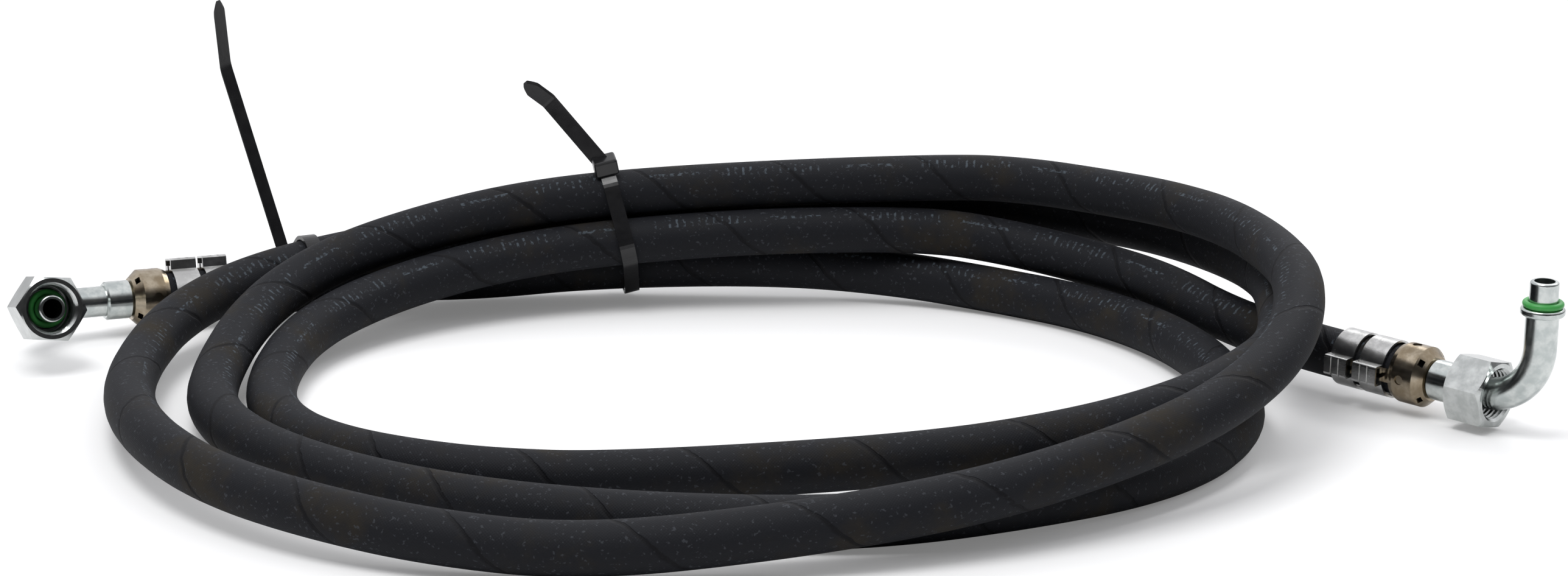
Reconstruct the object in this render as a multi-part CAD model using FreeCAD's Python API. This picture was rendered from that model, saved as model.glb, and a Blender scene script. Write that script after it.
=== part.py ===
# Coiled refrigerant-type fluid hose with a 90-degree swivel-nut fitting on each end
# Millimetres, +Z up. The origin is under the middle of the whole assembly, on the floor.
import FreeCAD, Part
import math
import os

os.makedirs("parts", exist_ok=True)
V = FreeCAD.Vector
UP = V(0, 0, 1)

# The hose
HOSE_OD = 14.7
HOSE_BORE = 8.0
FLOOR_FLAT = 0.5
ARC_SHARE = 0.45
LEAST_TURN = 0.001
MIN_GAP = 0.4

# The bent tube of each fitting
TUBE_OD = 9.53
TUBE_BORE = 6.0
BEND_RADIUS = 17.0
PORT_STRAIGHT = 9.8
BEAD_OD = 12.8
BEAD_LENGTH = 2.4
BEAD_ROUND = 0.9
PILOT_OD = 8.3
PILOT_LENGTH = 7.6
PILOT_ROUND = 0.7
PORT_SEAL_SECTION = 1.9
PORT_SEAT_LENGTH = 2.2
PORT_SEAT_DEPTH = 0.15
SEAT_GAP = 0.03

# The nipple: collar, groove and stem
COLLAR_START = 25.9
COLLAR_OD = 12.0
COLLAR_LENGTH = 8.3
COLLAR_CHAMFER = 0.6
SOCKET_DEPTH = 6.0
GROOVE_OD = 9.2
GROOVE_LENGTH = 1.3
FLANGE_OD = 11.6
FLANGE_LENGTH = 1.2
STEM_CLEARANCE = 0.1
STEM_LENGTH = 31.0
STEM_BORE = 4.6
STEM_SEAL_SECTION = 1.0
STEM_SEAL_SPACING = 10.0
STEM_SEAL_FIRST = 10.0
SEAL_GROOVE_EXTRA = 0.5

# The cage over the end of the hose
CAGE_OD = 18.0
CAGE_WALL = 0.8
CAGE_LENGTH = 11.0
CAGE_SHOULDER = 2.6
CAGE_MOUTH_OD = 16.8
CAGE_MOUTH_LENGTH = 1.6
CAGE_GAP = 0.1
WINDOW_COUNT = 4
WINDOW_WIDTH = 2.2
WINDOW_LENGTH = 1.3
DIMPLE_COUNT = 4
DIMPLE_WIDTH = 2.8
DIMPLE_DEPTH = 0.4
ARM_THICKNESS = 0.5
ARM_WIDTH = 4.2
ARM_TAIL = 1.0

# The two ear clips
CLIP_THICKNESS = 0.6
CLIP_INNER_WIDTH = 8.2
CLIP_OUTER_WIDTH = 7.8
CLIP_GAP = 2.2
CAGE_TO_CLIP = 2.2
EAR_WIDTH = 6.0
EAR_HEIGHT = 2.9
EAR_SLIT = 1.4
EAR_ROUND = 0.8
RIDGE_WIDTH = 0.7
RIDGE_DEPTH = 0.25
RIDGE_SPACING = 2.6
FIT_GAP = 0.1

# The swivel nut
NUT_ACROSS_FLATS = 19.0
NUT_LENGTH = 12.5
NUT_RING_OD = 18.4
NUT_CHAMFER_SLOPE = 0.55
NUT_WALL = 2.5
NUT_HOLE_OD = 10.1
THREAD_MAJOR = 15.9
THREAD_MINOR = 14.4
THREAD_PITCH = 1.41
NUT_AXIAL_GAP = 0.1
NUT_PARKED_GAP = 0.5

# The cable ties
TIE_WIDTH = 4.8
TIE_THICKNESS = 1.1
TIE_SLACK = 0.9
TIE_HEAD_WIDTH = 7.6
TIE_HEAD_HEIGHT = 5.4
TIE_HEAD_DEPTH = 6.4
TIE_ROUND = 0.6
TAIL_ARC_SHARE = 0.15

# Where the fittings stand: the elbow's corner, the leg's plan angle and rise towards the hose, how
# far the port tilts up from level, and how far each nut is turned about its axis
LEFT_CORNER = V(-235.9, 64.0, 12.4)
LEFT_LEG_ANGLE = 26.0
LEFT_LEG_RISE = -2.0
LEFT_PORT_TILT = 14.0
LEFT_NUT_TURN = -7.0
RIGHT_CORNER = V(214.4, -32.1, 10.9)
RIGHT_LEG_ANGLE = 136.3
RIGHT_LEG_RISE = 1.0
RIGHT_PORT_TILT = 90.0
RIGHT_NUT_TURN = 17.0


# The coil in plan: where each quarter turn starts, its heights there, one third and two thirds on,
# and its fullness, which is under 1 where the quarter is squarer than an ellipse.
COIL_STEPS = 6
COIL = [
    (-3.1, 121.6, (11.4, 6.85, 7.3), 0.91),
    (131.9, -20.4, (7.6, 6.85, 8.4), 1.05),
    (5.0, -123.9, (6.85, 6.85, 8.2), 0.98),
    (-167.5, -4.9, (9.2, 23.7, 35.6), 0.72),
    (54.2, 119.4, (40.9, 40.2, 43.0), 1.0),
    (148.7, -16.5, (42.9, 28.3, 16.0), 0.98),
    (-51.6, -147.3, (7.1, 11.9, 12.7), 0.94),
    (-192.3, 13.9, (9.6, 18.8, 24.6), 0.84),
    (43.3, 130.3, (28.1, 28.2, 27.4), 0.99),
    (148.5, 28.8, (28.0, 24.8, 16.0), 0.66),
    (-47.3, -89.1, (7.8, 8.1, 6.85), 0.87),
    (-151.3, 10.7, (6.85, 13.4, 20.6), 0.9),
]
COIL_END = (-3.6, 110.4, 25.2)

# The tails between the fittings and the coil
LEFT_TAIL = [(-134.0, 109.5, 9.6), (-100.0, 117.5, 7.6), (-60.0, 124.0, 9.8)]
RIGHT_TAIL = [(46.7, 114.5, 24.5), (72.2, 109.6, 21.4), (98.4, 95.6, 18.3), (119.0, 73.5, 17.0), (136.5, 48.5, 12.7)]

# Each tie: a point inside its loop, the loop's plan angle and lean, where its head sits round the
# loop, and the two runs of its free tail
TIES = {
    "middle_cable_tie": (V(-53, 117, 22), 10.0, 12.0, 104.0, (V(-18, 4, 20.7), V(-7, -4, 6.4))),
    "left_cable_tie": (V(-152, 94, 14), 26.0, 0.0, 35.0, (V(-17.6, 3.6, 62.8), V(-1.2, -2.5, 21.4))),
}


parts = {}


def keep(shape, name):
    """Hold one sub-part for saving and print what it is."""
    parts[name] = shape
    print(name, len(shape.Solids), "solid, volume", round(shape.Volume, 1), shape.isValid())


def turned(profile, axis):
    """A solid of revolution about an axis through the origin, from its outline's corners."""
    outline = Part.makePolygon(profile + profile[:1])
    return Part.Face(outline).revolve(V(0, 0, 0), axis, 360)


def about_x(outline):
    """Turn a list of (along, radius) about the leg's axis."""
    return turned([V(x, 0, r) for x, r in outline], V(1, 0, 0))


def about_z(outline):
    """Turn a list of (radius, along) about the port's axis."""
    return turned([V(r, 0, z) for r, z in outline], V(0, 0, 1))


def sweep(path, radius):
    """A round bar along a path."""
    start = path.Edges[0]
    first = start.valueAt(start.FirstParameter)
    heading = start.tangentAt(start.FirstParameter)
    ring = Part.Wire(Part.makeCircle(radius, first, heading))
    return path.makePipeShell([ring], True, False)


def rounded_path(points, share):
    """Straight runs joined by tangent arcs that take a share of the shorter run. Returns the path and radii."""
    edges = []
    radii = []
    here = points[0]
    for before, corner, after in zip(points, points[1:], points[2:]):
        towards = (corner - before).normalize()
        away = (after - corner).normalize()
        turn = towards.getAngle(away)
        if turn < LEAST_TURN:
            continue
        reach = share * min((corner - before).Length, (after - corner).Length)
        radius = reach / math.tan(turn / 2)
        enter = corner - towards * reach
        leave = corner + away * reach
        inward = (away - towards).normalize()
        middle = corner + inward * (radius / math.cos(turn / 2) - radius)
        edges.append(Part.LineSegment(here, enter).toShape())
        edges.append(Part.Arc(enter, middle, leave).toShape())
        radii.append(radius)
        here = leave
    edges.append(Part.LineSegment(here, points[-1]).toShape())
    return Part.Wire(edges), radii


# The fitting, built about its elbow's corner: +X runs to the hose, +Z out of the port.
# Stations along the leg and the port come from the sizes above.
COLLAR_END = COLLAR_START + COLLAR_LENGTH
GROOVE_END = COLLAR_END + GROOVE_LENGTH
FLANGE_END = GROOVE_END + FLANGE_LENGTH
HOSE_START = FLANGE_END + FIT_GAP
STEM_END = HOSE_START + STEM_LENGTH
CAGE_START = COLLAR_END + CAGE_GAP
CAGE_END = CAGE_START + CAGE_LENGTH
INNER_CLIP_START = CAGE_END + CAGE_TO_CLIP
OUTER_CLIP_START = INNER_CLIP_START + CLIP_INNER_WIDTH + CLIP_GAP
CLIPS_END = OUTER_CLIP_START + CLIP_OUTER_WIDTH
BEAD_START = BEND_RADIUS + PORT_STRAIGHT
PILOT_START = BEAD_START + BEAD_LENGTH
PORT_TIP = PILOT_START + PILOT_LENGTH
PORT_SEAT = PILOT_OD / 2 - PORT_SEAT_DEPTH
PORT_SEAL_RADIUS = PORT_SEAT + PORT_SEAL_SECTION / 2 + SEAT_GAP
PORT_SEAL_AT = PILOT_START + PORT_SEAL_SECTION / 2 + SEAT_GAP
ARM_INNER = HOSE_OD / 2 + FIT_GAP
ARM_OUTER = ARM_INNER + ARM_THICKNESS
CLIP_INNER = ARM_OUTER + FIT_GAP
CLIP_OUTER = CLIP_INNER + CLIP_THICKNESS


def elbow_tube():
    """The bent tube, from the collar's socket round to the pilot, with its bead."""
    leg_end = COLLAR_START + SOCKET_DEPTH - SEAT_GAP
    bend = BEND_RADIUS * (1 - math.sin(math.radians(45)))
    runs = [
        Part.LineSegment(V(leg_end, 0, 0), V(BEND_RADIUS, 0, 0)).toShape(),
        Part.Arc(V(BEND_RADIUS, 0, 0), V(bend, 0, bend), V(0, 0, BEND_RADIUS)).toShape(),
        Part.LineSegment(V(0, 0, BEND_RADIUS), V(0, 0, PORT_TIP)).toShape(),
    ]
    bead = Part.makeCylinder(BEAD_OD / 2, BEAD_LENGTH, V(0, 0, BEAD_START), UP)
    bead = bead.makeFillet(BEAD_ROUND, [e for e in bead.Edges if isinstance(e.Curve, Part.Circle)])
    pilot = Part.makeCylinder(PILOT_OD / 2, PORT_TIP - BEAD_START, V(0, 0, BEAD_START), UP)
    rim = [e for e in pilot.Edges if isinstance(e.Curve, Part.Circle) and e.CenterOfMass.z > PORT_TIP - 0.1]
    pilot = pilot.makeFillet(PILOT_ROUND, rim)
    to_bead = runs[:2] + [Part.LineSegment(V(0, 0, BEND_RADIUS), V(0, 0, BEAD_START + BEAD_LENGTH / 2)).toShape()]
    body = sweep(Part.Wire(to_bead), TUBE_OD / 2).fuse([bead, pilot]).removeSplitter()
    seat = Part.makeCylinder(BEAD_OD / 2, PORT_SEAT_LENGTH, V(0, 0, PILOT_START), UP)
    seat = seat.cut(Part.makeCylinder(PORT_SEAT, PORT_SEAT_LENGTH, V(0, 0, PILOT_START), UP))
    return body.cut(seat).cut(sweep(Part.Wire(runs), TUBE_BORE / 2))


def nipple():
    """The collar that the tube is brazed into, the cage's groove and the stem inside the hose."""
    stem = HOSE_BORE / 2 - STEM_CLEARANCE
    socket = TUBE_OD / 2 + SEAT_GAP
    body = about_x([
        (COLLAR_START, 0),
        (COLLAR_START, COLLAR_OD / 2 - COLLAR_CHAMFER),
        (COLLAR_START + COLLAR_CHAMFER, COLLAR_OD / 2),
        (COLLAR_END - COLLAR_CHAMFER, COLLAR_OD / 2),
        (COLLAR_END, COLLAR_OD / 2 - COLLAR_CHAMFER),
        (COLLAR_END, GROOVE_OD / 2),
        (GROOVE_END, GROOVE_OD / 2),
        (GROOVE_END, FLANGE_OD / 2),
        (FLANGE_END, FLANGE_OD / 2),
        (FLANGE_END, stem),
        (STEM_END - STEM_CLEARANCE * 10, stem),
        (STEM_END, stem - STEM_CLEARANCE * 5),
        (STEM_END, 0),
    ])
    body = body.cut(Part.makeCylinder(socket, SOCKET_DEPTH, V(COLLAR_START, 0, 0), V(1, 0, 0)))
    body = body.cut(Part.makeCylinder(STEM_BORE / 2, STEM_END, V(0, 0, 0), V(1, 0, 0)))
    width = STEM_SEAL_SECTION + SEAL_GROOVE_EXTRA
    for at in seal_stations():
        ring = Part.makeCylinder(stem + 1, width, V(at - width / 2, 0, 0), V(1, 0, 0))
        floor = Part.makeCylinder(seal_floor(), width, V(at - width / 2, 0, 0), V(1, 0, 0))
        body = body.cut(ring.cut(floor))
    return body


def seal_stations():
    """Where the two stem seals sit along the leg."""
    first = HOSE_START + STEM_SEAL_FIRST
    return [first, first + STEM_SEAL_SPACING]


def seal_floor():
    """The radius of the stem seals' grooves."""
    return HOSE_BORE / 2 - SEAT_GAP - STEM_SEAL_SECTION - SEAT_GAP


def stem_seal(at):
    """A small O-ring between the stem and the hose's bore."""
    return Part.makeTorus(seal_floor() + SEAT_GAP + STEM_SEAL_SECTION / 2, STEM_SEAL_SECTION / 2, V(at, 0, 0), V(1, 0, 0))


def port_seal():
    """The O-ring on the pilot, against the bead."""
    return Part.makeTorus(PORT_SEAL_RADIUS, PORT_SEAL_SECTION / 2, V(0, 0, PORT_SEAL_AT), UP)


def leg_box(start, end, y0, y1, z0, z1):
    """A box given by its limits."""
    return Part.makeBox(end - start, y1 - y0, z1 - z0, V(start, y0, z0))


def around_leg(shape, angle):
    """Turn a shape about the leg's axis."""
    copy = shape.copy()
    copy.rotate(V(0, 0, 0), V(1, 0, 0), angle)
    return copy


def cage():
    """The pressed cage: it snaps in the nipple's groove and its two arms lie under the clips."""
    hole = GROOVE_OD / 2 + FIT_GAP
    face = FLANGE_OD / 2 + CAGE_WALL
    outer = CAGE_OD / 2
    mouth = CAGE_MOUTH_OD / 2
    shell = about_x([
        (CAGE_START, hole),
        (CAGE_START, face),
        (CAGE_START + CAGE_SHOULDER, outer),
        (CAGE_END - CAGE_MOUTH_LENGTH, outer),
        (CAGE_END, mouth),
        (CAGE_END, mouth - CAGE_WALL),
        (CAGE_END - CAGE_MOUTH_LENGTH, outer - CAGE_WALL),
        (CAGE_START + CAGE_SHOULDER + CAGE_WALL / 2, outer - CAGE_WALL),
        (CAGE_START + CAGE_WALL, face - CAGE_WALL / 2),
        (CAGE_START + CAGE_WALL, hole),
    ])
    window = leg_box(CAGE_START + CAGE_WALL, CAGE_START + CAGE_WALL + WINDOW_LENGTH,
                     -WINDOW_WIDTH / 2, WINDOW_WIDTH / 2, FLANGE_OD / 2, outer + 1)
    for i in range(WINDOW_COUNT):
        shell = shell.cut(around_leg(window, (i + 0.5) * 360 / WINDOW_COUNT))
    dimple_at = (CAGE_START + CAGE_SHOULDER + CAGE_END) / 2
    dimple = Part.makeCylinder(DIMPLE_WIDTH / 2, outer, V(dimple_at, 0, outer - DIMPLE_DEPTH), UP)
    for i in range(DIMPLE_COUNT):
        shell = shell.cut(around_leg(dimple, i * 360 / DIMPLE_COUNT))
    arm_length = CLIPS_END + ARM_TAIL - CAGE_END + CAGE_MOUTH_LENGTH
    arm_from = V(CAGE_END - CAGE_MOUTH_LENGTH / 2, 0, 0)
    ring = Part.makeCylinder(ARM_OUTER, arm_length, arm_from, V(1, 0, 0))
    ring = ring.cut(Part.makeCylinder(ARM_INNER, arm_length, arm_from, V(1, 0, 0)))
    strip = leg_box(CAGE_START, STEM_END + CLIPS_END, -ARM_WIDTH / 2, ARM_WIDTH / 2, 0, outer)
    arms = [ring.common(around_leg(strip, angle)) for angle in (-90, 90)]
    return shell.fuse(arms).removeSplitter()


def ear_clip(start, width):
    """A one-ear clip: a band with a pinched, ridged ear on the +Y side."""
    top = CLIP_OUTER + EAR_HEIGHT
    axis = V(1, 0, 0)
    band = Part.makeCylinder(CLIP_OUTER, width, V(start, 0, 0), axis)
    ear = leg_box(start, start + width, CLIP_INNER, top, -EAR_WIDTH / 2, EAR_WIDTH / 2)
    corners = [e for e in ear.Edges if abs(e.tangentAt(0).x) > 0.9 and e.CenterOfMass.y > CLIP_OUTER]
    ear = ear.makeFillet(EAR_ROUND, corners)
    inside = EAR_WIDTH / 2 - CLIP_THICKNESS
    tunnel = leg_box(start, start + width, CLIP_OUTER + CLIP_THICKNESS, top - CLIP_THICKNESS, -inside, inside)
    slit = leg_box(start, start + width, CLIP_INNER / 2, top - CLIP_THICKNESS, -EAR_SLIT / 2, EAR_SLIT / 2)
    clip = band.fuse(ear).cut(tunnel.fuse(slit))
    clip = clip.cut(Part.makeCylinder(CLIP_INNER, width, V(start, 0, 0), axis))
    for side in (-1, 1):
        at = start + width / 2 + side * RIDGE_SPACING / 2 - RIDGE_WIDTH / 2
        clip = clip.cut(leg_box(at, at + RIDGE_WIDTH, top - RIDGE_DEPTH, top + 1, -EAR_WIDTH, EAR_WIDTH))
    return clip


def swivel_nut():
    """The hexagon nut, its back wall at z = 0 and its threaded mouth at the other end."""
    flat = NUT_ACROSS_FLATS / 2
    corner = flat / math.cos(math.radians(30))
    ring = NUT_RING_OD / 2
    rise = (corner - ring) * NUT_CHAMFER_SLOPE
    hexagon = [V(corner * math.cos(math.radians(60 * i)), corner * math.sin(math.radians(60 * i)), 0) for i in range(7)]
    prism = Part.Face(Part.makePolygon(hexagon)).extrude(V(0, 0, NUT_LENGTH))
    blank = about_z([(0, 0), (ring, 0), (corner, rise), (corner, NUT_LENGTH - rise), (ring, NUT_LENGTH), (0, NUT_LENGTH)])
    minor = THREAD_MINOR / 2
    major = THREAD_MAJOR / 2
    outline = [(0, -1), (NUT_HOLE_OD / 2, -1), (NUT_HOLE_OD / 2, NUT_WALL), (minor, NUT_WALL)]
    turns = int((NUT_LENGTH - NUT_WALL - THREAD_PITCH) / THREAD_PITCH)
    start = NUT_LENGTH - (major - minor) - turns * THREAD_PITCH
    for i in range(turns):
        at = start + i * THREAD_PITCH
        outline += [(minor, at + THREAD_PITCH * 0.1), (major, at + THREAD_PITCH * 0.5), (minor, at + THREAD_PITCH * 0.9)]
    outline += [(minor, NUT_LENGTH - (major - minor)), (major, NUT_LENGTH), (major, NUT_LENGTH + 1), (0, NUT_LENGTH + 1)]
    return prism.common(blank).cut(about_z(outline))


def level(angle):
    """A level direction from its plan angle."""
    return V(math.cos(math.radians(angle)), math.sin(math.radians(angle)), 0)


def frame_of(corner, angle, rise, tilt):
    """The placement that stands a fitting at its corner, and the direction of its leg."""
    leg = level(angle) * math.cos(math.radians(rise)) + UP * math.sin(math.radians(rise))
    flat = level(angle - 90)
    port = flat * math.cos(math.radians(tilt)) + flat.cross(leg) * math.sin(math.radians(tilt))
    return FreeCAD.Placement(corner, FreeCAD.Rotation(leg, port.cross(leg), port, "XZY")), leg


LEFT_PLACE, LEFT_LEG = frame_of(LEFT_CORNER, LEFT_LEG_ANGLE, LEFT_LEG_RISE, LEFT_PORT_TILT)
RIGHT_PLACE, RIGHT_LEG = frame_of(RIGHT_CORNER, RIGHT_LEG_ANGLE, RIGHT_LEG_RISE, RIGHT_PORT_TILT)
NUT_ON_PORT = FreeCAD.Placement(V(0, 0, BEAD_START - NUT_AXIAL_GAP - NUT_WALL), FreeCAD.Rotation())
NUT_ON_LEG = FreeCAD.Placement(V(COLLAR_START - NUT_PARKED_GAP, 0, 0), FreeCAD.Rotation(V(0, 1, 0), -90))
ENDS = {
    "left": (LEFT_PLACE, NUT_ON_PORT, LEFT_NUT_TURN),
    "right": (RIGHT_PLACE, NUT_ON_LEG, RIGHT_NUT_TURN),
}

pieces = {
    "elbow_tube": elbow_tube(),
    "nipple": nipple(),
    "inner_stem_seal": stem_seal(seal_stations()[0]),
    "outer_stem_seal": stem_seal(seal_stations()[1]),
    "cage": cage(),
    "inner_clip": ear_clip(INNER_CLIP_START, CLIP_INNER_WIDTH),
    "outer_clip": ear_clip(OUTER_CLIP_START, CLIP_OUTER_WIDTH),
    "port_seal": port_seal(),
}
for end, (place, nut_place, nut_turn) in ENDS.items():
    for name, shape in pieces.items():
        placed = shape.copy()
        placed.Placement = place
        keep(placed, end + "_" + name)
    nut = swivel_nut()
    turn = FreeCAD.Placement(V(0, 0, 0), FreeCAD.Rotation(UP, nut_turn))
    nut.Placement = place.multiply(nut_place).multiply(turn)
    keep(nut, end + "_swivel_nut")


def coil_points():
    """The coil's turns: quarter ovals whose ends run square to the plan's axes, back, right, front, left."""
    points = []
    ends = COIL[1:] + [(COIL_END[0], COIL_END[1], (COIL_END[2],), 1)]
    for i, (start, end) in enumerate(zip(COIL, ends)):
        heights = list(start[2]) + [end[2][0]]
        for step in range(COIL_STEPS):
            part = step / COIL_STEPS
            across = math.sin(part * math.pi / 2) ** start[3]
            along = 1 - math.cos(part * math.pi / 2) ** start[3]
            if i % 2:
                across, along = along, across
            place = part * (len(heights) - 1)
            low = int(place)
            z = heights[low] + (heights[low + 1] - heights[low]) * (place - low)
            points.append(V(start[0] + (end[0] - start[0]) * across, start[1] + (end[1] - start[1]) * along, z))
    return points + [V(*COIL_END)]


LEFT_START = LEFT_CORNER + LEFT_LEG * HOSE_START
RIGHT_START = RIGHT_CORNER + RIGHT_LEG * HOSE_START
LEG_RUNS = (CLIPS_END / 4, CLIPS_END * 2 / 3)
route = [LEFT_START] + [LEFT_START + LEFT_LEG * run for run in LEG_RUNS]
route += [V(*p) for p in LEFT_TAIL] + coil_points() + [V(*p) for p in RIGHT_TAIL]
route += [RIGHT_START + RIGHT_LEG * run for run in reversed(LEG_RUNS)] + [RIGHT_START]
line, radii = rounded_path(route, ARC_SHARE)
print("hose length", round(line.Length, 1), "tightest radius", round(min(radii), 1))

hose = sweep(line, HOSE_OD / 2).cut(sweep(line, HOSE_BORE / 2))
section = math.pi * (HOSE_OD ** 2 - HOSE_BORE ** 2) / 4
print("hose volume over section times length", round(hose.Volume / (section * line.Length), 4))
box = hose.BoundBox
under = Part.makeBox(box.XLength, box.YLength, HOSE_OD, V(box.XMin, box.YMin, -HOSE_OD))
hose = hose.cut(under)
keep(hose, "hose")

# The hose's least gap to itself, measured between points of its line
STEP = 4.0
samples = line.discretize(Distance=STEP)
apart = int(HOSE_OD * 4 / STEP)
least = min((a - b).Length for i, a in enumerate(samples) for b in samples[i + apart:])
print("least gap to itself", round(least - HOSE_OD, 2), "allowed", MIN_GAP)


def hull(points):
    """The convex hull of plane points, in order round it."""
    points = sorted(points)
    rings = []
    for ordered in (points, points[::-1]):
        ring = []
        for p in ordered:
            while len(ring) > 1 and cross(ring[-2], ring[-1], p) <= 0:
                ring.pop()
            ring.append(p)
        rings.append(ring[:-1])
    return rings[0] + rings[1]


def cross(a, b, c):
    """Twice the signed area of a plane triangle."""
    return (b[0] - a[0]) * (c[1] - a[1]) - (b[1] - a[1]) * (c[0] - a[0])


def loop_face(corners, away):
    """The face inside a line that keeps a distance from the corners' hull."""
    runs = []
    for a, b in zip(corners, corners[1:] + corners[:1]):
        runs.append((a, b, (b - a).normalize()))
    edges = []
    for (a, b, along), (_, _, onward) in zip(runs, runs[1:] + runs[:1]):
        out = V(along.y, -along.x, 0)
        middle = (along - onward).normalize()
        edges.append(Part.LineSegment(a + out * away, b + out * away).toShape())
        edges.append(Part.Arc(b + out * away, b + middle * away, b + V(onward.y, -onward.x, 0) * away).toShape())
    return Part.Face(Part.Wire(edges))


def cable_tie(centre, turn, lean, head_at, tail):
    """A cable tie round the strands that pass through its loop's plane, with its head and cut tail."""
    normal = level(turn) * math.cos(math.radians(lean)) + UP * math.sin(math.radians(lean))
    side = UP.cross(normal).normalize()
    place = FreeCAD.Placement(centre, FreeCAD.Rotation(side, normal.cross(side), normal, "ZXY"))
    local = [place.inverse().multVec(p) for p in samples]
    strands = []
    for a, b in zip(local, local[1:]):
        if (a.z < 0) != (b.z < 0):
            at = a + (b - a) * (a.z / (a.z - b.z))
            if math.hypot(at.x, at.y) < HOSE_OD * 1.5:
                strands.append((at.x, at.y))
    corners = [V(x, y, 0) for x, y in hull(strands)]
    near = HOSE_OD / 2 + TIE_SLACK
    ring = loop_face(corners, near + TIE_THICKNESS).cut(loop_face(corners, near))
    ring = ring.extrude(V(0, 0, TIE_WIDTH))
    ring.translate(V(0, 0, -TIE_WIDTH / 2))
    out = V(math.cos(math.radians(head_at)), math.sin(math.radians(head_at)), 0)
    foot = max(corners, key=out.dot) + out * near
    head = Part.makeBox(TIE_HEAD_HEIGHT, TIE_HEAD_DEPTH, TIE_HEAD_WIDTH, V(0, -TIE_HEAD_DEPTH / 2, -TIE_HEAD_WIDTH / 2))
    head = head.makeFillet(TIE_ROUND, head.Edges)
    head.Placement = FreeCAD.Placement(foot, FreeCAD.Rotation(UP, head_at))
    tie = ring.fuse(head)
    tie.Placement = place
    start = place.multVec(foot + out * (TIE_HEAD_HEIGHT / 2))
    print("strands in the tie", len(strands), "head at", start)
    return tie.fuse(tail_strip(start, *tail)).removeSplitter()


def tail_strip(start, run, last):
    """The tie's free tail: a flat strip with one bend across its thickness."""
    across = run.cross(last).normalize()
    line, _ = rounded_path([start, start + run, start + run + last], TAIL_ARC_SHARE)
    lift = across.cross(V(run).normalize())
    corners = []
    for i, j in ((-1, -1), (1, -1), (1, 1), (-1, 1), (-1, -1)):
        corners.append(start + across * (TIE_WIDTH / 2 * i) + lift * (TIE_THICKNESS / 2 * j))
    return line.makePipeShell([Part.makePolygon(corners)], True, False)


for name, tie in TIES.items():
    shape = cable_tie(*tie)
    keep(shape, name)
    print("least gap to the hose", round(shape.distToShape(hose)[0], 2), "lowest", round(shape.BoundBox.ZMin, 2))

# The layout is moved so that the origin is under the middle of the whole box
whole = Part.makeCompound(list(parts.values())).optimalBoundingBox()
middle = V(whole.Center.x, whole.Center.y, 0)
print("size", round(whole.XLength, 2), round(whole.YLength, 2), round(whole.ZLength, 2), "moved by", -middle)
for name, shape in parts.items():
    shape.translate(-middle)
    shape.exportStep("parts/" + name + ".step")
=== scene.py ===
# %% [markdown]
# # A coiled rubber hose with swivel-nut ends
#
# The real object is about three metres of black rubber hose, laid in a loose coil of three turns and
# held by two cable ties. Each end has a bent steel tube with a swivel nut, a pressed cage and two ear
# clips. The metal pieces come from the imported frame and only need their finishes. The hose and the
# ties are soft or bent, so they are made here.
#
# The first step loads that frame. Nothing made later may grow past it.

# %% Load the frame
import math

import bmesh
import bpy
from mathutils import Matrix, Vector


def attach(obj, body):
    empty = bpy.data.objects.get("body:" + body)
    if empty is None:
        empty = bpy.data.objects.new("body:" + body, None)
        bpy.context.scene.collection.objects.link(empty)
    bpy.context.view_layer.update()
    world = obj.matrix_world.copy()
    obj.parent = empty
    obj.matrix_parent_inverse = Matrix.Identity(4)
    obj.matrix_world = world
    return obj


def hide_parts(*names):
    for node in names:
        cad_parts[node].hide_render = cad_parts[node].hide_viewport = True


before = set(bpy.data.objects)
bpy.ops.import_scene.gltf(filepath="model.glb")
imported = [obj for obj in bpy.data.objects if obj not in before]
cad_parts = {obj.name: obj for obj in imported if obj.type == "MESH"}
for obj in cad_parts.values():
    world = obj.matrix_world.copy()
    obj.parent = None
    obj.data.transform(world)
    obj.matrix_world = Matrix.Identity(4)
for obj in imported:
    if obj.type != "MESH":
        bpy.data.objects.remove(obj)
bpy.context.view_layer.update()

# %% [markdown]
# ## The camera
#
# The photograph looks slightly down on the coil from about a metre away. A long lens keeps the two
# fittings nearly the same size. The camera could be aimed with a constraint, but three plain numbers,
# its height, its distance and its tilt, are easier to compare with the picture.

# %% Place the camera
# The frame's origin lies under the middle of the part's box. MIDDLE is where the route's own origin is in it
MIDDLE = Vector((0.00691, 0.00825, 0))
CAMERA_HEIGHT = 0.3306
CAMERA_BACK = 1.060
CAMERA_TILT = 15.5
LENS_LENGTH = 86.65

lens = bpy.data.cameras.new("photo_camera")
lens.sensor_width = 36
lens.lens = LENS_LENGTH
lens.clip_start = 0.01
camera = bpy.data.objects.new("photo_camera", lens)
camera.location = MIDDLE + Vector((0, -CAMERA_BACK, CAMERA_HEIGHT))
camera.rotation_euler = (math.radians(90 - CAMERA_TILT), 0, 0)
bpy.context.collection.objects.link(camera)
bpy.context.scene.camera = camera
print("camera at", tuple(camera.location))
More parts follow.
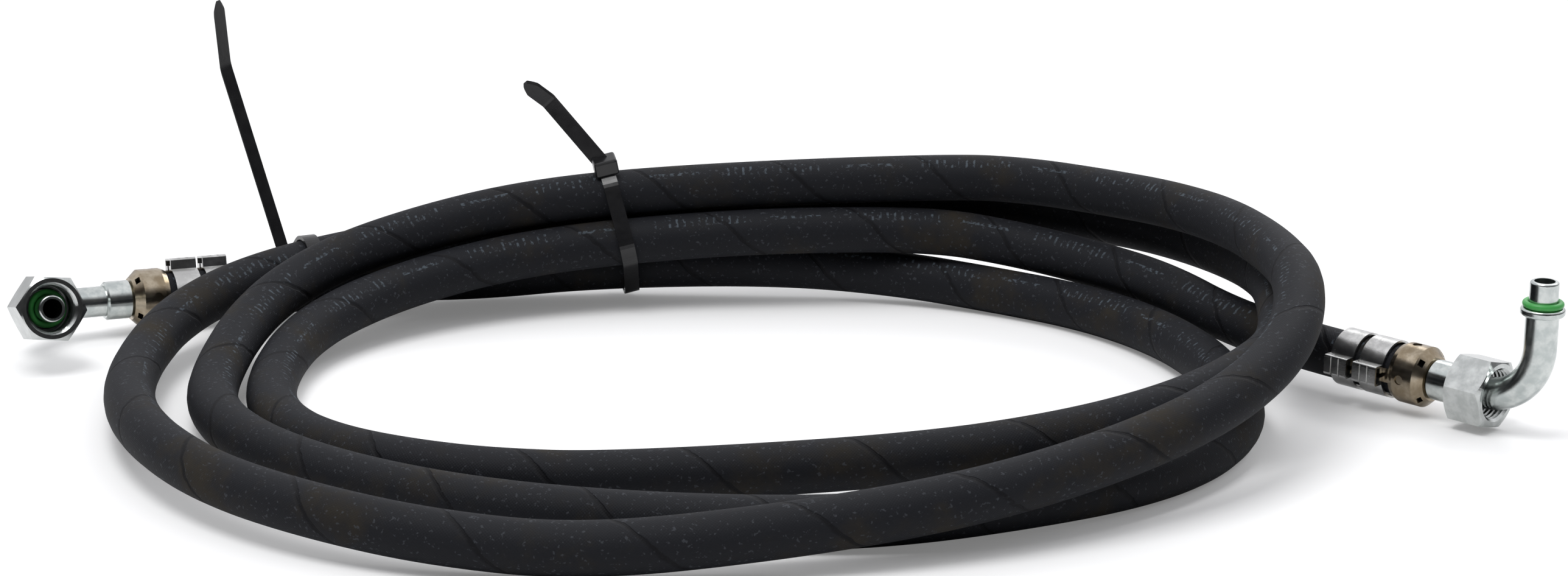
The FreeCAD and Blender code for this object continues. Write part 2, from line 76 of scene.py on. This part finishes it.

# %% [markdown]
# ## The hose's route
#
# A coil lying on a table is close to a stack of ovals, but no two of its turns are alike. Each quarter
# turn is a stretched quarter circle between its own two end points, with its own heights. A fullness
# under one makes a quarter squarer. The two tails are listed point by point. All these points are the control
# points of one smooth spline, so the hose has no corners.

# %% The route's control points
# Each row of COIL is x, y, the heights through the quarter turn that starts there, and its fullness
COIL = [
    (-0.0031, 0.1216, (0.0114, 0.00685, 0.0073), 0.91),
    (0.1319, -0.0204, (0.0076, 0.00685, 0.0084), 1.05),
    (0.005, -0.1239, (0.00685, 0.00685, 0.0082), 0.98),
    (-0.1675, -0.0049, (0.0092, 0.0237, 0.0356), 0.72),
    (0.0542, 0.1194, (0.0409, 0.0402, 0.043), 1),
    (0.1487, -0.0165, (0.0429, 0.0283, 0.016), 0.98),
    (-0.0516, -0.1473, (0.0071, 0.0119, 0.0127), 0.94),
    (-0.1923, 0.0139, (0.0096, 0.0188, 0.0246), 0.84),
    (0.0433, 0.1303, (0.0281, 0.0282, 0.0274), 0.99),
    (0.1485, 0.0288, (0.028, 0.0248, 0.016), 0.66),
    (-0.0473, -0.0891, (0.0078, 0.0081, 0.00685), 0.87),
    (-0.1513, 0.0107, (0.00685, 0.0134, 0.0206), 0.9),
]
COIL_END = (-0.0036, 0.1104, 0.0252)
LEFT_TAIL = [(-0.134, 0.1095, 0.0096), (-0.1, 0.1175, 0.0076), (-0.06, 0.124, 0.0098)]
RIGHT_TAIL = [
    (0.0467, 0.1145, 0.0245),
    (0.0722, 0.1096, 0.0214),
    (0.0984, 0.0956, 0.0183),
    (0.119, 0.0735, 0.017),
    (0.1365, 0.0485, 0.0127),
]
LEFT_CORNER = Vector((-0.2359, 0.064, 0.0124))
RIGHT_CORNER = Vector((0.2144, -0.0321, 0.0109))
COIL_STEPS = 6
HOSE_DIAMETER = 0.0147
HOSE_BORE = 0.008
HOSE_START = 0.0368
CLIPS_END = 0.0657
LINE_STEPS = 14


def leg(turn, rise):
    """A direction from its plan angle and its rise, in degrees."""
    turn, rise = math.radians(turn), math.radians(rise)
    return Vector((math.cos(turn) * math.cos(rise), math.sin(turn) * math.cos(rise), math.sin(rise)))


def coil_points():
    """The control points of the coil, quarter turn by quarter turn."""
    points = []
    ends = COIL[1:] + [(COIL_END[0], COIL_END[1], (COIL_END[2],), 1)]
    for i, (start, end) in enumerate(zip(COIL, ends)):
        heights = list(start[2]) + [end[2][0]]
        for step in range(COIL_STEPS):
            part = step / COIL_STEPS
            across = math.sin(part * math.pi / 2) ** start[3]
            along = 1 - math.cos(part * math.pi / 2) ** start[3]
            if i % 2:
                across, along = along, across
            place = part * (len(heights) - 1)
            low = int(place)
            z = heights[low] + (heights[low + 1] - heights[low]) * (place - low)
            x = start[0] + (end[0] - start[0]) * across
            y = start[1] + (end[1] - start[1]) * along
            points.append(Vector((x, y, z)))
    return points + [Vector(COIL_END)]


LEFT_LEG = leg(turn=26, rise=-2)
RIGHT_LEG = leg(turn=136.3, rise=1)
along_leg = [HOSE_START, HOSE_START + CLIPS_END / 4, HOSE_START + CLIPS_END * 2 / 3]
route = [LEFT_CORNER + LEFT_LEG * run for run in along_leg]
route += [Vector(p) for p in LEFT_TAIL] + coil_points() + [Vector(p) for p in RIGHT_TAIL]
route += [RIGHT_CORNER + RIGHT_LEG * run for run in reversed(along_leg)]
route = [p + MIDDLE for p in route]
print("control points", len(route))

# %% The smooth line through them
def smooth_line(name, places, steps):
    """Points along a smooth spline that the places pull into shape."""
    curve = bpy.data.curves.new(name, "CURVE")
    curve.dimensions = "3D"
    curve.resolution_u = steps
    spline = curve.splines.new("NURBS")
    spline.points.add(len(places) - 1)
    for point, place in zip(spline.points, places):
        point.co = (*place, 1)
    spline.order_u = 3
    spline.use_endpoint_u = True
    holder = bpy.data.objects.new(name, curve)
    bpy.context.collection.objects.link(holder)
    bpy.context.view_layer.update()
    sampled = bpy.data.meshes.new_from_object(holder)
    spots = [v.co.copy() for v in sampled.vertices]
    bpy.data.objects.remove(holder)
    bpy.data.meshes.remove(sampled)
    return spots


hose_line = smooth_line("hose_line", route, LINE_STEPS)
run = [0.0]
for a, b in zip(hose_line, hose_line[1:]):
    run.append(run[-1] + (b - a).length)
print("line points", len(hose_line), "length", round(run[-1], 4))

# %% [markdown]
# ## The hose
#
# The hose is a plain round tube with a bore, and it lies slightly flattened where it touches the
# table. A curve's own bevel would be quicker, but a mesh lets each point know how far it is along and
# around the hose. Those two lengths are its UV map, and the rubber's wrap lines and marks follow them.
# A grid is rolled round the line: first the outside, then back through the bore.

# %% Helpers that every mesh piece uses
def grid_points(bm, columns, rows):
    """Add a grid and return its points by column and row."""
    made = bmesh.ops.create_grid(bm, x_segments=columns - 1, y_segments=rows - 1, size=1)
    table = {}
    for vert in made["verts"]:
        column = round((vert.co.x + 1) / 2 * (columns - 1))
        row = round((vert.co.y + 1) / 2 * (rows - 1))
        table[column, row] = vert
    assert len(table) == columns * rows
    return table


def finish_piece(bm, name, body="hose_assembly", smooth=True):
    """Turn a bmesh into an object that rides on a body."""
    mesh = bpy.data.meshes.new(name)
    bmesh.ops.recalc_face_normals(bm, faces=bm.faces)
    bm.to_mesh(mesh)
    bm.free()
    for polygon in mesh.polygons:
        polygon.use_smooth = smooth
    piece = bpy.data.objects.new(name, mesh)
    bpy.context.collection.objects.link(piece)
    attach(piece, body)
    print(name, "faces", len(mesh.polygons))
    return piece


# %% Roll the tube round the line
SIDES = 28
BORE_SKIP = 3


def line_frame(i):
    """The sideways and upward directions at a point of the hose's line."""
    ahead = (hose_line[min(i + 1, len(hose_line) - 1)] - hose_line[max(i - 1, 0)]).normalized()
    side = ahead.cross(Vector((0, 0, 1))).normalized()
    return side, side.cross(ahead)


last = len(hose_line) - 1
rings = [(i, HOSE_DIAMETER / 2) for i in range(last + 1)]
rings += [(i, HOSE_BORE / 2) for i in range(last, -1, -BORE_SKIP)]
rings += [(0, HOSE_BORE / 2), (0, HOSE_DIAMETER / 2)]
bm = bmesh.new()
table = grid_points(bm, len(rings), SIDES + 1)
lengths = bm.loops.layers.uv.new("UVMap")
for (column, row), vert in table.items():
    i, radius = rings[column]
    side, up = line_frame(i)
    turn = 2 * math.pi * row / SIDES
    vert.co = hose_line[i] + (side * math.cos(turn) + up * math.sin(turn)) * radius
    vert.co.z = max(vert.co.z, 0)
    for loop in vert.link_loops:
        loop[lengths].uv = (row / SIDES * math.pi * HOSE_DIAMETER, run[i])
bmesh.ops.remove_doubles(bm, verts=bm.verts, dist=1e-6)
hose = finish_piece(bm, "wrapped_hose")

# %% [markdown]
# ## The cable ties
#
# A tie pulls the strands together and lies round their outline like a rubber band: straight between
# strands and round at each. So its loop is found from the hose itself, by looking where the hose's line
# passes the tie's plane. A strip of grid is bent round that outline and solidified.

# %% Find the outline of the strands
TIE_WIDTH = 0.0048
TIE_THICKNESS = 0.0011
TIE_REACH = HOSE_DIAMETER * 1.5
ROUND_POINTS = 48
MOST_CORNERS = 400


def tie_plane(centre, turn, lean):
    """A matrix whose Z runs through the tie's loop."""
    turn, lean = math.radians(turn), math.radians(lean)
    normal = Vector((math.cos(turn) * math.cos(lean), math.sin(turn) * math.cos(lean), math.sin(lean)))
    side = Vector((0, 0, 1)).cross(normal).normalized()
    up = normal.cross(side)
    plane = Matrix((side, up, normal)).transposed().to_4x4()
    plane.translation = Vector(centre) + MIDDLE
    return plane


def strands_in(plane):
    """Where the hose's line passes the plane within reach, as plane points."""
    local = [plane.inverted() @ p for p in hose_line]
    strands = []
    for a, b in zip(local, local[1:]):
        if (a.z < 0) != (b.z < 0):
            at = a.lerp(b, a.z / (a.z - b.z))
            if at.xy.length < TIE_REACH:
                strands.append(Vector((at.x, at.y, 0)))
    return strands


def outline_round(strands, away):
    """The corners of a band stretched round the strands, walked from the lowest one."""
    bm = bmesh.new()
    for strand in strands:
        for k in range(ROUND_POINTS):
            turn = 2 * math.pi * k / ROUND_POINTS
            out = Vector((math.cos(turn), math.sin(turn), 0))
            bm.verts.new(strand + out * away)
    points = [v.co.copy() for v in bm.verts]
    bm.free()
    hull = []
    here = min(points, key=lambda p: p.y)
    heading = 0.0
    while True:
        turns = []
        for p in points:
            step = p - here
            if step.length > 1e-7:
                bend = (math.atan2(step.y, step.x) - heading) % (2 * math.pi)
                turns.append((bend, -step.length, p))
        turn, _, ahead = min(turns, key=lambda t: (round(t[0], 6), t[1]))
        heading += turn
        hull.append(here)
        here = ahead
        if (here - hull[0]).length < 1e-7 or len(hull) > MOST_CORNERS:
            break
    return hull


# %% Bend the loop
TIE_SLACK = 0.0003
OUTLINE_STEP = 0.002
HEAD_SIZE = (0.0054, 0.0064, 0.0076)
HEAD_BEVEL = 0.0008
HEAD_SINK = 0.3
TIP_TAPER = 0.0034
TIP_WIDTH = 0.15
TAIL_STEPS = 8


def tie_loop(bm, plane, strands):
    """A closed strap round the strands."""
    outline = outline_round(strands, HOSE_DIAMETER / 2 + TIE_SLACK)
    dense = []
    for a, b in zip(outline, outline[1:] + outline[:1]):
        pieces = max(1, round((b - a).length / OUTLINE_STEP))
        dense += [a.lerp(b, k / pieces) for k in range(pieces)]
    table = grid_points(bm, len(dense) + 1, 2)
    for (column, row), vert in table.items():
        spot = dense[column % len(dense)]
        vert.co = plane @ (spot + Vector((0, 0, (row - 0.5) * TIE_WIDTH)))
    verts = list(table.values())
    bmesh.ops.remove_doubles(bm, verts=verts, dist=1e-7)
    bmesh.ops.recalc_face_normals(bm, faces=bm.faces)
    faces = list(bm.faces)
    bmesh.ops.solidify(bm, geom=faces, thickness=-TIE_THICKNESS)


def tie_head(bm, plane, strands, head_at):
    """The tie's head, standing on the loop, and the place its tail leaves from."""
    turn = math.radians(head_at)
    out = Vector((math.cos(turn), math.sin(turn), 0))
    away = HOSE_DIAMETER / 2 + TIE_SLACK + TIE_THICKNESS * HEAD_SINK
    foot = max(strands, key=lambda s: s.dot(out)) + out * away
    stand = plane @ Matrix.Translation(foot + out * HEAD_SIZE[0] / 2) @ Matrix.Rotation(turn, 4, "Z")
    shape = stand @ Matrix.Diagonal((*HEAD_SIZE, 1))
    made = bmesh.ops.create_cube(bm, size=1, matrix=shape)
    edges = list({e for v in made["verts"] for e in v.link_edges})
    bmesh.ops.bevel(bm, geom=edges, offset=HEAD_BEVEL, offset_type="OFFSET", affect="EDGES",
                    segments=3, profile=0.5, material=-1)
    return stand.translation.copy()


def tie_tail(bm, start, corners, across):
    """A flat strip from the head through its corners, narrowed at its tip."""
    across = Vector(across).normalized()
    spots = smooth_line("tail_line", [start] + corners, TAIL_STEPS)
    table = grid_points(bm, len(spots), 3)
    for (column, row), vert in table.items():
        to_tip = (spots[-1] - spots[column]).length
        width = TIE_WIDTH * min(1, TIP_WIDTH + (1 - TIP_WIDTH) * to_tip / TIP_TAPER) ** 0.6
        vert.co = spots[column] + across * (row - 1) * width / 2
    faces = list({f for v in table.values() for f in v.link_faces})
    bmesh.ops.solidify(bm, geom=faces, thickness=TIE_THICKNESS)


# Each tie's place, its plane's turn and lean, the angle its head stands at, and its tail's two moves
TIES = {
    "middle_cable_tie": (
        (-0.053, 0.117, 0.022), 10, 12, 104, [(-0.018, 0.004, 0.0207), (-0.007, -0.004, 0.0064)],
    ),
    "left_cable_tie": (
        (-0.152, 0.094, 0.014), 26, 0, 35, [(-0.0176, 0.0036, 0.0628), (-0.0012, -0.0025, 0.0214)],
    ),
}
# How far along each of those moves the tail is pinned, so that it stays straight and turns sharply
BEFORE_BEND = (0.5, 0.93)
AFTER_BEND = (0.12, 0.75, 0.94)
ties = []
for name, (centre, turn, lean, head_at, moves) in TIES.items():
    plane = tie_plane(centre, turn, lean)
    strands = strands_in(plane)
    bm = bmesh.new()
    tie_loop(bm, plane, strands)
    start = tie_head(bm, plane, strands, head_at)
    bend = start + Vector(moves[0])
    across = Vector(moves[0]).cross(Vector(moves[1]))
    tip = bend + Vector(moves[1])
    bends = [start.lerp(bend, share) for share in BEFORE_BEND] + [bend]
    bends += [bend.lerp(tip, share) for share in AFTER_BEND] + [tip]
    print(name, "holds", len(strands), "strands")
    tie_tail(bm, start, bends, across)
    piece = finish_piece(bm, name.replace("cable_tie", "tie_strap"), smooth=False)
    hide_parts(name)
    ties.append(piece)

# %% [markdown]
# ## Finishes
#
# Shader maths reads best as plain formulas. A small class wraps a socket, so that a formula on values
# adds the Math nodes it needs. Everything else comes from one method that makes any node.

# %% A small shader language
class Value:
    """A socket that Python's operators turn into Math nodes."""

    def __init__(self, finish, socket):
        self.finish = finish
        self.socket = socket

    def math(self, operation, *values):
        return self.finish.node("ShaderNodeMath", {"operation": operation}, dict(enumerate(values)))

    def through(self, operation):
        return self.math(operation, self)

    def __add__(self, other):
        return self.math("ADD", self, other)

    def __radd__(self, other):
        return self.math("ADD", other, self)

    def __sub__(self, other):
        return self.math("SUBTRACT", self, other)

    def __rsub__(self, other):
        return self.math("SUBTRACT", other, self)

    def __mul__(self, other):
        return self.math("MULTIPLY", self, other)

    def __rmul__(self, other):
        return self.math("MULTIPLY", other, self)

    def __truediv__(self, other):
        return self.math("DIVIDE", self, other)

    def __rtruediv__(self, other):
        return self.math("DIVIDE", other, self)


class Finish:
    """A material under construction."""

    def __init__(self, name):
        self.material = bpy.data.materials.new(name)
        self.material.use_nodes = True
        self.tree = self.material.node_tree
        self.shader = self.tree.nodes["Principled BSDF"]

    def node(self, kind, settings=None, inputs=None, output=0):
        made = self.tree.nodes.new(kind)
        for key, value in (settings or {}).items():
            if key == "stops":
                ramp = made.color_ramp
                while len(ramp.elements) < len(value):
                    ramp.elements.new(0.5)
                for element, (place, colour) in zip(ramp.elements, value):
                    element.position = place
                    element.color = (*colour, 1)
            else:
                setattr(made, key, value)
        for key, value in (inputs or {}).items():
            self.feed(made.inputs[key], value)
        return Value(self, made.outputs[output])

    def feed(self, socket, value):
        if isinstance(value, Value):
            self.tree.links.new(value.socket, socket)
        elif isinstance(value, tuple) and len(value) == 3 and socket.type == "RGBA":
            socket.default_value = (*value, 1)
        else:
            socket.default_value = value

    def set(self, **inputs):
        for key, value in inputs.items():
            self.feed(self.shader.inputs[key.replace("_", " ")], value)

    def noise(self, vector, scale, detail=3, roughness=0.5):
        inputs = {"Vector": vector, "Scale": scale, "Detail": detail, "Roughness": roughness}
        return self.node("ShaderNodeTexNoise", {}, inputs)

    def blend(self, mask, low, high):
        """Mix two colours by a mask."""
        return self.node("ShaderNodeMix", {"data_type": "RGBA"}, {0: mask, 6: low, 7: high}, output=2)

    def steps(self, value, low, high):
        """Nought below low, one above high, and smooth between."""
        inputs = {0: value, 1: low, 2: high, 3: 0.0, 4: 1.0}
        return self.node("ShaderNodeMapRange", {"interpolation_type": "SMOOTHSTEP"}, inputs)

    def bump(self, height, strength, distance):
        return self.node("ShaderNodeBump", {}, {"Height": height, "Strength": strength, "Distance": distance})


# %% [markdown]
# ### Rubber
#
# The cover is cured under a cloth wrap. That leaves a fine weave in the surface and a spiral line where
# the wrap overlapped. Dust settles in it as brownish patches. Two lengths from the UV map, round and
# along the hose, are turned into a cylinder of points, so that noise has no seam.

# %% The hose's rubber
rubber = Finish("wrapped_rubber")
uv = rubber.node("ShaderNodeTexCoord", output=2)
around = rubber.node("ShaderNodeSeparateXYZ", {}, {0: uv})
along = Value(rubber, around.socket.node.outputs[1])
RADIUS = HOSE_DIAMETER / 2
turn = around / RADIUS
sideways = turn.through("COSINE") * RADIUS
upwards = turn.through("SINE") * RADIUS
roll = rubber.node("ShaderNodeCombineXYZ", {}, {0: sideways, 1: upwards, 2: along})
WRAP_PITCH = 0.045
wrap = along / WRAP_PITCH + turn / (2 * math.pi) + rubber.noise(roll, 260, 3) * 0.05
wrap = wrap.through("FRACT")
seam = rubber.steps(wrap, 0.0, 0.012) * (1 - rubber.steps(wrap, 0.025, 0.06))
specks = rubber.steps(rubber.noise(roll, 900, 2), 0.62, 0.70)
patches = rubber.steps(rubber.noise(roll, 30, 5, 0.65), 0.50, 0.74)
grain = rubber.noise(roll, 1500, 2)
WEAVE_SCALE = 7000
weave = (around * WEAVE_SCALE).through("SINE") * (along * WEAVE_SCALE).through("SINE")
# Plain ticks and bars along one side stand where a hose has its printed line, and spell nothing
MARK_AT = RADIUS * math.radians(52)
MARK_HALF = 0.0017
TICK_PITCH = 0.0024
GROUP_PITCH = 0.062
beside = (around - MARK_AT).through("ABSOLUTE")
band = 1 - rubber.steps(beside, MARK_HALF * 0.9, MARK_HALF)
beat = (along / TICK_PITCH).through("FRACT")
ticks = 1 - rubber.steps((beat - 0.5).through("ABSOLUTE"), 0.13, 0.18)
group = (along / GROUP_PITCH).through("FRACT")
bars = rubber.steps(group, 0.60, 0.603) * (1 - rubber.steps(group, 0.86, 0.863))
bars = bars * (1 - rubber.steps(beside, 0.0005, 0.0006))
marks = band * ticks * (1 - rubber.steps(group, 0.50, 0.503)) + bars
marks = marks * rubber.steps(rubber.noise(roll, 700, 3), 0.46, 0.62)
dark = rubber.blend(patches * 0.75, (0.0070, 0.0078, 0.0110), (0.036, 0.028, 0.016))
dark = rubber.blend(grain * 0.3, dark, (0.014, 0.015, 0.018))
dark = rubber.blend(specks * 0.6, dark, (0.055, 0.060, 0.070))
dark = rubber.blend(seam * 0.85, dark, (0.0015, 0.0015, 0.003))
rubber.set(Base_Color=rubber.blend(marks * 0.6, dark, (0.10, 0.125, 0.15)))
rubber.set(Roughness=0.72 + patches * 0.15, Specular_IOR_Level=0.24)
relief = weave * 0.25 + grain * 0.6 - seam * 4.0
rubber.set(Normal=rubber.bump(relief, 0.55, 0.00012))
hose.data.materials.append(rubber.material)
print("rubber nodes", len(rubber.tree.nodes))

# %% [markdown]
# ### Nylon
#
# The ties are moulded black nylon, much shinier than the rubber. Their serrations lie against the hose,
# out of sight, so a gloss that drifts a little and a faint grain are all that they need.

# %% The ties' nylon
nylon = Finish("black_nylon")
spot = nylon.node("ShaderNodeTexCoord", output=3)
haze = nylon.noise(spot, 260, 3)
nylon.set(Base_Color=nylon.blend(haze, (0.006, 0.006, 0.007), (0.014, 0.014, 0.015)))
nylon.set(Roughness=0.16 + haze * 0.16)
nylon.set(Normal=nylon.bump(nylon.noise(spot, 900, 2), 0.15, 0.0001))
for tie in ties:
    tie.data.materials.append(nylon.material)
print("nylon nodes", len(nylon.tree.nodes))

# %% [markdown]
# ### Plated steel
#
# The tube, nut and nipple have a bright, slightly cool zinc plate. The cage is passivated to bronze,
# and the clips are plain satin steel. Each is a metal with its own colour, cloudiness and fine grain.

# %% The metal finishes
def plated(name, low, high, rough, cloud, grain, grit=2600):
    """A metal whose colour and roughness drift with a cloudy noise, over a fine grit."""
    metal = Finish(name)
    spot = metal.node("ShaderNodeTexCoord", output=3)
    clouds = metal.noise(spot, cloud, 4, 0.6)
    fine = metal.noise(spot, grit, 3, 0.7)
    metal.set(Base_Color=metal.blend(metal.steps(clouds, 0.35, 0.7), low, high), Metallic=1.0)
    metal.set(Roughness=rough + clouds * 0.14 + fine * 0.05)
    metal.set(Normal=metal.bump(fine, grain, 0.00008))
    return metal.material


zinc = plated("bright_zinc", (0.50, 0.54, 0.53), (0.68, 0.71, 0.69), 0.09, 300, 0.2)
nut_zinc = plated("nut_zinc", (0.48, 0.50, 0.49), (0.64, 0.66, 0.65), 0.05, 240, 0.3, 1500)
bronze = plated("bronze_zinc", (0.27, 0.215, 0.145), (0.46, 0.40, 0.31), 0.12, 180, 0.2)
satin = plated("satin_steel", (0.50, 0.50, 0.49), (0.68, 0.68, 0.67), 0.15, 240, 0.3)

green = Finish("green_seal")
spot = green.node("ShaderNodeTexCoord", output=3)
green.set(Base_Color=green.blend(green.noise(spot, 500, 2), (0.045, 0.33, 0.065), (0.07, 0.42, 0.09)))
green.set(Roughness=0.4)

FINISHES = {
    "elbow_tube": zinc,
    "nipple": zinc,
    "swivel_nut": nut_zinc,
    "cage": bronze,
    "inner_clip": satin,
    "outer_clip": satin,
    "inner_stem_seal": green.material,
    "outer_stem_seal": green.material,
    "port_seal": green.material,
}
for name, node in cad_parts.items():
    for end, finish in FINISHES.items():
        if name.endswith(end):
            node.data.materials.clear()
            node.data.materials.append(finish)
            print(name, "gets", finish.name)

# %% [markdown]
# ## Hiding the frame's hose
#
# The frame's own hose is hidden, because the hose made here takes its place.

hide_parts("hose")

# %% [markdown]
# ## The studio
#
# The photograph is a cut-out on white. A white floor and a white world give that. A large soft lamp
# overhead, a little to the front and left, gives the hose its long highlight, and a weaker one behind
# and to the right lights its far edges. The floor glows a little to the camera alone, which lifts it to
# white without more light on the hose. The metal mirrors a room that the camera doesn't see.

# %% The floor
FLOOR_HALF = 6
FLOOR_GREY = (0.86, 0.86, 0.86)
FLOOR_GLOW = 0.18
bm = bmesh.new()
bmesh.ops.create_grid(bm, x_segments=1, y_segments=1, size=FLOOR_HALF)
mesh = bpy.data.meshes.new("floor")
bm.to_mesh(mesh)
bm.free()
floor = bpy.data.objects.new("floor", mesh)
bpy.context.collection.objects.link(floor)
pale = Finish("white_floor")
pale.set(Base_Color=FLOOR_GREY, Roughness=0.9, Specular_IOR_Level=0.1)
seen = pale.node("ShaderNodeLightPath")
plain = Value(pale, pale.shader.outputs[0])
glow = pale.node("ShaderNodeEmission", {}, {"Color": (1, 1, 1), "Strength": FLOOR_GLOW})
both = pale.node("ShaderNodeAddShader", {}, {0: plain, 1: glow})
mixed = pale.node("ShaderNodeMixShader", {}, {0: seen, 1: plain, 2: both})
pale.feed(pale.tree.nodes["Material Output"].inputs[0], mixed)
floor.data.materials.append(pale.material)
print("floor", floor.dimensions.x, "m wide")

# %% The room
# The room is dark low down behind the camera and bright above and beyond, so the metal has contrast
ROOM_SLOPE = (0, 0.5, 1)
ROOM = [(0.0, 0.04), (0.24, 0.07), (0.42, 0.42), (0.65, 0.95), (1.0, 0.9)]
ROOM_BLUE = 1.03


class Surroundings(Finish):
    """A world under construction, with a material's way of making nodes."""

    def __init__(self, world):
        self.tree = world.node_tree
        self.shader = self.tree.nodes["Background"]


world = bpy.data.worlds.new("studio")
bpy.context.scene.world = world
world.use_nodes = True
around_us = Surroundings(world)
look = around_us.node("ShaderNodeTexCoord")
aim = around_us.node("ShaderNodeVectorMath", {"operation": "DOT_PRODUCT"}, {0: look, 1: ROOM_SLOPE}, output=1)
greys = [(place, (grey, grey, grey * ROOM_BLUE)) for place, grey in ROOM]
room = around_us.node("ShaderNodeValToRGB", {"stops": greys}, {0: aim})
seen = around_us.node("ShaderNodeLightPath")
around_us.set(Color=around_us.blend(seen, room, (1, 1, 1)))
print("room shades", len(ROOM))


# %% The lamps
def lamp(name, place, aim, size, watts):
    """A soft rectangular lamp that looks at a point."""
    light = bpy.data.lights.new(name, "AREA")
    light.shape = "RECTANGLE"
    light.size, light.size_y = size
    light.energy = watts
    holder = bpy.data.objects.new(name, light)
    holder.location = place
    holder.rotation_euler = (Vector(aim) - Vector(place)).to_track_quat("-Z", "Y").to_euler()
    bpy.context.collection.objects.link(holder)


lamp("key_lamp", (-0.3, -0.35, 1.4), (0, 0, 0), (0.8, 0.6), 10)
lamp("rim_lamp", (0.6, 0.9, 0.9), (0, 0, 0), (0.8, 0.4), 4)
bpy.context.scene.view_settings.view_transform = "Standard"
print("lamps", len(bpy.data.lights))
